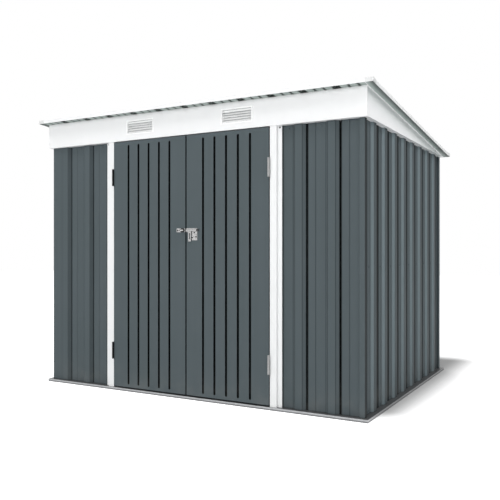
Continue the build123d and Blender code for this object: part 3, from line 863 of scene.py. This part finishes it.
zincCoat = zincFinish("zincCoat", zincWants)
innerRails = [node for node in shedNodes if node.endswith(("_top_rail", "_wall_rail", "roof_beam"))]
for node in innerRails:
    dress(node, zincCoat)

# Base rails: painted shade on the upward ledge below the walls, and the face darker below a level near
# its bottom
baseRailWants = {
    **zincWants,
    "color": (0.345, 0.352, 0.36, 1),
    "ledgeShade": 0.75,
    "footDarkening": 0.5,
    "footLevel": 0.008,
    "footFade": 0.003,
}


def railShade(tree, place, normal, wants):
    ledge = ramp01(tree, alongAxis(tree, normal, (0, 0, 1)), *steepTurn)
    aboveFoot = ramp01(tree, place["Z"], wants["footLevel"], wants["footLevel"] + wants["footFade"])
    foot = math2(tree, "SUBTRACT", 1.0, aboveFoot)
    return math2(tree, "MAXIMUM", math2(tree, "MULTIPLY", ledge, wants["ledgeShade"]),
                 math2(tree, "MULTIPLY", foot, wants["footDarkening"]))


baseRail = zincFinish("baseRail", baseRailWants, railShade)
for node in ("front_base_rail", "rear_base_rail", "left_base_rail", "right_base_rail"):
    dress(node, baseRail)

# Plugs that close the open ends of the front and rear base rails
plugWants = {
    "width": 0.0518,
    "height": 0.018,
    "sheet": 0.0015,
    "length": 0.003,
    "inset": 0.0002,
}
boxSides = ((0, 2, 3, 1), (4, 5, 7, 6), (0, 1, 5, 4), (2, 6, 7, 3), (0, 4, 6, 2), (1, 3, 7, 5))


def railPlugs(wants, material):
    corners = []
    sides = []
    for node, frontEdge in (("front_base_rail", True), ("rear_base_rail", False)):
        low, high = boxOf(node)
        zs = (low.z + wants["sheet"], low.z + wants["height"] - wants["sheet"])
        if frontEdge:
            ys = (low.y + wants["sheet"], low.y + wants["width"])
        else:
            ys = (high.y - wants["width"], high.y - wants["sheet"])
        for end in (low.x + wants["inset"], high.x - wants["inset"] - wants["length"]):
            first = len(corners)
            corners += [(x, y, z) for z in zs for y in ys for x in (end, end + wants["length"])]
            sides += [tuple(first + i for i in side) for side in boxSides]
    mesh = bpy.data.meshes.new("railPlugs")
    mesh.from_pydata(corners, [], sides)
    mesh.materials.append(material)
    piece = bpy.data.objects.new("railPlugs", mesh)
    scene.collection.objects.link(piece)
    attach(piece, "shed")


railPlugs(plugWants, baseRail)
print("base: rails and end plugs")

# Hinges: grey on the right door; the left door's are painted black as painted shade, but for a grey
# edge
hingeWants = {
    **zincWants,
    "color": (0.36, 0.36, 0.36, 1),
    "metallic": 0.2,
    "specular": 0.08,
    "shadeStart": -0.5848,
}


def hingeShade(tree, place, normal, wants):
    return math2(tree, "GREATER_THAN", place["X"], wants["shadeStart"])


for side, blackParts in (("left", hingeShade), ("right", None)):
    hingeCoat = zincFinish(side + "Hinge", hingeWants, blackParts)
    dress(side + "_hinge_post_leaves", hingeCoat)
    dress(side + "_hinge_door_leaves", hingeCoat)

# Latch: bright steel, with black on the bolt's end and on the keeper's staple above and below its
# bright middle band
latchWants = {
    **zincWants,
    "color": (0.40, 0.40, 0.40, 1),
    "cellScale": 240.0,
    "contrast": 0.45,
    "roughness": 0.34,
    "boltEnd": 0.0845,
    "stapleStart": -0.0375,
    "stapleEnd": -0.0115,
    "level": 1.054,
    "brightHalf": 0.0042,
}


def boltBlack(tree, place, normal, wants):
    return math2(tree, "GREATER_THAN", place["X"], wants["boltEnd"])


def keeperBlack(tree, place, normal, wants):
    pastStart = math2(tree, "GREATER_THAN", place["X"], wants["stapleStart"])
    beforeEnd = math2(tree, "LESS_THAN", place["X"], wants["stapleEnd"])
    fromLevel = math2(tree, "ABSOLUTE", math2(tree, "SUBTRACT", place["Z"], wants["level"]))
    offMiddle = math2(tree, "GREATER_THAN", fromLevel, wants["brightHalf"])
    return math2(tree, "MULTIPLY", math2(tree, "MULTIPLY", pastStart, beforeEnd), offMiddle)


dress("latch_plate", zincFinish("latchSteel", latchWants))
dress("latch_bolt", zincFinish("boltSteel", latchWants, boltBlack))
dress("latch_keeper", zincFinish("keeperSteel", latchWants, keeperBlack))
screwBlack = zincFinish("screwBlack", {**hingeWants, "color": zincWants["blackColor"], "metallic": 0.0})

# Moulded caps at the roof's corners
capWants = {**whiteWants, "color": (0.70, 0.71, 0.71, 1), "roughness": 0.5, "streak": 0.0}
dress("roof_corner_caps", plainPaint("capPlastic", capWants))
print("metal: zinc, latch steel and caps")


# Fasteners: a tree that sets a washer and a headed screw on each point, along the point's facing vector
fastenerInputs = (
    ("Head Radius", "Float"), ("Head Height", "Float"), ("Head Taper", "Float"),
    ("Washer Radius", "Float"), ("Washer Height", "Float"), ("Sides", "Int"), ("Finish", "Material"),
)
washerTaper = 0.9


def makeFastenerTree():
    tree = bpy.data.node_groups.new("fastenerSet", "GeometryNodeTree")
    tree.interface.new_socket("Points", in_out="INPUT", socket_type="NodeSocketGeometry")
    for label, kind in fastenerInputs:
        tree.interface.new_socket(label, in_out="INPUT", socket_type="NodeSocket" + kind)
    tree.interface.new_socket("Fasteners", in_out="OUTPUT", socket_type="NodeSocketGeometry")
    pick = addNode(tree, "NodeGroupInput").outputs
    out = addNode(tree, "NodeGroupOutput")

    washer = addNode(tree, "GeometryNodeMeshCone")
    feed(tree, washer, "Vertices", pick["Sides"])
    feed(tree, washer, "Radius Bottom", pick["Washer Radius"])
    feed(tree, washer, "Radius Top", math2(tree, "MULTIPLY", pick["Washer Radius"], washerTaper))
    feed(tree, washer, "Depth", pick["Washer Height"])
    head = addNode(tree, "GeometryNodeMeshCone")
    feed(tree, head, "Vertices", pick["Sides"])
    feed(tree, head, "Radius Bottom", pick["Head Radius"])
    feed(tree, head, "Radius Top", math2(tree, "MULTIPLY", pick["Head Radius"], pick["Head Taper"]))
    feed(tree, head, "Depth", pick["Head Height"])
    lift = addNode(tree, "ShaderNodeCombineXYZ")
    feed(tree, lift, "Z", pick["Washer Height"])
    raised = addNode(tree, "GeometryNodeTransform")
    feed(tree, raised, "Geometry", head.outputs["Mesh"])
    feed(tree, raised, "Translation", lift.outputs[0])
    one = addNode(tree, "GeometryNodeJoinGeometry")
    feed(tree, one, 0, washer.outputs["Mesh"])
    feed(tree, one, 0, raised.outputs["Geometry"])

    facing = addNode(tree, "GeometryNodeInputNamedAttribute", data_type="FLOAT_VECTOR")
    feed(tree, facing, "Name", "facing")
    turn = addNode(tree, "FunctionNodeAlignRotationToVector", axis="Z")
    feed(tree, turn, "Vector", facing.outputs["Attribute"])
    rows = addNode(tree, "GeometryNodeInstanceOnPoints")
    feed(tree, rows, "Points", pick["Points"])
    feed(tree, rows, "Instance", one.outputs[0])
    feed(tree, rows, "Rotation", turn.outputs[0])
    real = addNode(tree, "GeometryNodeRealizeInstances")
    feed(tree, real, "Geometry", rows.outputs[0])
    finish = addNode(tree, "GeometryNodeSetMaterial")
    feed(tree, finish, "Geometry", real.outputs[0])
    feed(tree, finish, "Material", pick["Finish"])
    feed(tree, out, "Fasteners", finish.outputs[0])
    return tree


fastenerSet = makeFastenerTree()


def fasten(name, body, spots, wants, material):
    # spots are pairs of a place and the way that the head faces
    points = bpy.data.meshes.new(name + "Points")
    points.from_pydata([place for place, facing in spots], [], [])
    facings = points.attributes.new("facing", "FLOAT_VECTOR", "POINT")
    for entry, (place, facing) in zip(facings.data, spots):
        entry.vector = facing
    piece = bpy.data.objects.new(name, points)
    scene.collection.objects.link(piece)
    modifier = piece.modifiers.new("fasteners", "NODES")
    modifier.node_group = fastenerSet
    values = {**wants, "Finish": material}
    for item in fastenerSet.interface.items_tree:
        if item.in_out == "INPUT" and item.name in values:
            modifier[item.identifier] = values[item.name]
    graph = bpy.context.evaluated_depsgraph_get()
    solid = bpy.data.meshes.new_from_object(piece.evaluated_get(graph), depsgraph=graph)
    piece.modifiers.clear()
    piece.data = solid
    solid.name = name
    bpy.data.meshes.remove(points)
    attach(piece, body)
    print("fasteners:", name, len(spots), "on", body)


# Screws through the wall pans into the rails, with nuts inside
wallScrewWants = {
    "screw": {"Head Radius": 0.0042, "Head Height": 0.0024, "Head Taper": 0.72, "Washer Radius": 0.0075,
              "Washer Height": 0.0012, "Sides": 18},
    "nut": {"Head Radius": 0.0038, "Head Height": 0.0032, "Head Taper": 0.94, "Washer Radius": 0.0046,
            "Washer Height": 0.0006, "Sides": 6},
    "along": 0.112,
    "endMargin": 0.03,
    "railDepth": 0.0245,
    "rows": {
        "front_left_wall": (("front_top_rail", 0.020),),
        "front_right_wall": (("front_top_rail", 0.020),),
        "left_wall": (("left_wall_rail", 0.020), ("left_base_rail", 0.036)),
        "right_wall": (("right_wall_rail", 0.020), ("right_base_rail", 0.036)),
        "rear_wall": (("rear_wall_rail", 0.020), ("rear_base_rail", 0.036), ("rear_top_rail", 0.020)),
    },
}


def wallSpots(node, wall, rib, wants):
    low, high = boxOf(node)
    outward = Vector(wall["outward"])
    right = Vector(wall["right"])
    face = max(low.dot(outward), high.dot(outward))
    start = min(low.dot(right), high.dot(right))
    end = max(low.dot(right), high.dot(right)) - wants["endMargin"]
    levels = [boxOf(rail)[0].z + rise for rail, rise in wants["rows"][node]]
    screws = []
    nuts = []
    along = start + wall["firstRib"] + wants["along"] - rib["pitch"]
    while along < end:
        for level in levels if along > start + wants["endMargin"] else ():
            base = right * along + Vector((0, 0, level))
            screws.append((base + outward * (face - rib["depth"]), outward))
            nuts.append((base + outward * (face - wants["railDepth"]), -outward))
        along += rib["pitch"]
    return screws, nuts


wallScrews = []
wallNuts = []
for node, wall in wallWants.items():
    screws, nuts = wallSpots(node, wall, ribWants, wallScrewWants)
    wallScrews += screws
    wallNuts += nuts
screwPaint = plainPaint("screwPaint", panelWants)
fasten("wallScrews", "shed", wallScrews, wallScrewWants["screw"], screwPaint)
fasten("wallNuts", "shed", wallNuts, wallScrewWants["nut"], zincCoat)


# Screws through the flanges of the door posts
postScrewWants = {
    "screw": {"Head Radius": 0.0042, "Head Height": 0.0024, "Head Taper": 0.72, "Washer Radius": 0.0052,
              "Washer Height": 0.0006, "Sides": 18},
    "flangeMiddle": 0.014,
    "sheet": 0.0015,
    "levels": (1.64,),
}


def postSpots(wants):
    spots = []
    for node, sign in (("front_left_wall", -1), ("front_right_wall", 1)):
        low, high = boxOf(node)
        edge = low.x if sign > 0 else high.x
        for level in wants["levels"]:
            middle = edge + sign * wants["flangeMiddle"]
            spots.append((Vector((middle, low.y - wants["sheet"], level)), Vector((0, -1, 0))))
    return spots


fasten("postScrews", "shed", postSpots(postScrewWants), postScrewWants["screw"], screwBlack)


# Screws with sealing washers on the roof's rib crowns: at the front and rear trims and over the beam
roofScrewWants = {
    "screw": {"Head Radius": 0.0042, "Head Height": 0.0030, "Head Taper": 0.72, "Washer Radius": 0.0085,
              "Washer Height": 0.0016, "Sides": 18},
    "ribPitch": 0.201,
    "ribsAside": 5,
    "trimTop": 0.0205,
    "trimSheet": 0.0015,
    "fromEdge": 0.024,
}


def roofSpots(wants):
    lean = math.atan(roofFall)
    upward = Vector((0, math.sin(lean), math.cos(lean)))
    frontLow, frontHigh = boxOf("roof_front_trim")
    rearEdge = boxOf("roof_rear_trim")[1].y
    beamLow, beamHigh = boxOf("roof_beam")
    topEdge = frontLow.y + wants["trimTop"] * math.sin(lean)
    rows = (
        (frontLow.y + wants["fromEdge"], 0.0),
        ((beamLow.y + beamHigh.y) / 2, wants["trimSheet"]),
        (rearEdge - wants["fromEdge"], 0.0),
    )
    spots = []
    for i in range(-wants["ribsAside"], wants["ribsAside"] + 1):
        for y, drop in rows:
            z = frontHigh.z - (y - topEdge) * roofFall
            spots.append((Vector((i * wants["ribPitch"], y, z)) - upward * drop, upward))
    return spots


fasten("roofScrews", "shed", roofSpots(roofScrewWants), roofScrewWants["screw"], zincCoat)


# Dark screws of the latch plate and of its keeper
latchScrewWants = {
    "screw": {"Head Radius": 0.0045, "Head Height": 0.0014, "Head Taper": 0.6, "Washer Radius": 0.0047,
              "Washer Height": 0.0004, "Sides": 18},
    "sheet": 0.0015,
    "plate": ((0.0634, 1.0385), (0.0485, 1.007), (0.0765, 1.0123)),
    "keeper": ((-0.062, 1.054), (-0.046, 1.054)),
}


def latchSpots(door, places, wants):
    face = boxOf(door)[0].y - wants["sheet"]
    return [(Vector((x, face, z)), Vector((0, -1, 0))) for x, z in places]


plateSpots = latchSpots("right_door", latchScrewWants["plate"], latchScrewWants)
fasten("latchScrews", "right_leaf", plateSpots, latchScrewWants["screw"], screwBlack)
keeperSpots = latchSpots("left_door", latchScrewWants["keeper"], latchScrewWants)
fasten("keeperScrews", "left_leaf", keeperSpots, latchScrewWants["screw"], screwBlack)
